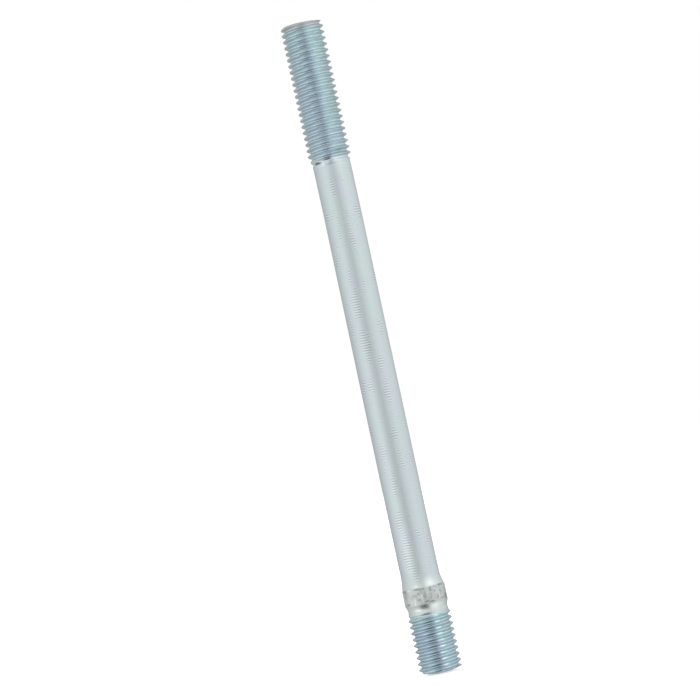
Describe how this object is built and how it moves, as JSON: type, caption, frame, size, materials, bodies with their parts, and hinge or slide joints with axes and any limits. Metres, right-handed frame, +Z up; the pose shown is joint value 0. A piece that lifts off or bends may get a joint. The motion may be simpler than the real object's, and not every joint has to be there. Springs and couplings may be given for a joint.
{
  "type": "threaded stud",
  "caption": "Slim zinc-plated steel stud with a long thread at one end and a short thread below a small collar at the other.",
  "frame": {"origin": "centre of the end face of the short thread, which the stud stands on", "axes": "+Z up the stud's axis from the short thread to the long thread; the outline is the same all round, so +X and +Y are free"},
  "size_m": [0.007, 0.007, 0.1071],
  "materials": {
    "zinc_plated_steel": "bright zinc plate with a clear blue passivate over rolled threads and a turned shank"
  },
  "bodies": {
    "root": {"stud": "zinc_plated_steel"}
  },
  "joints": []
}
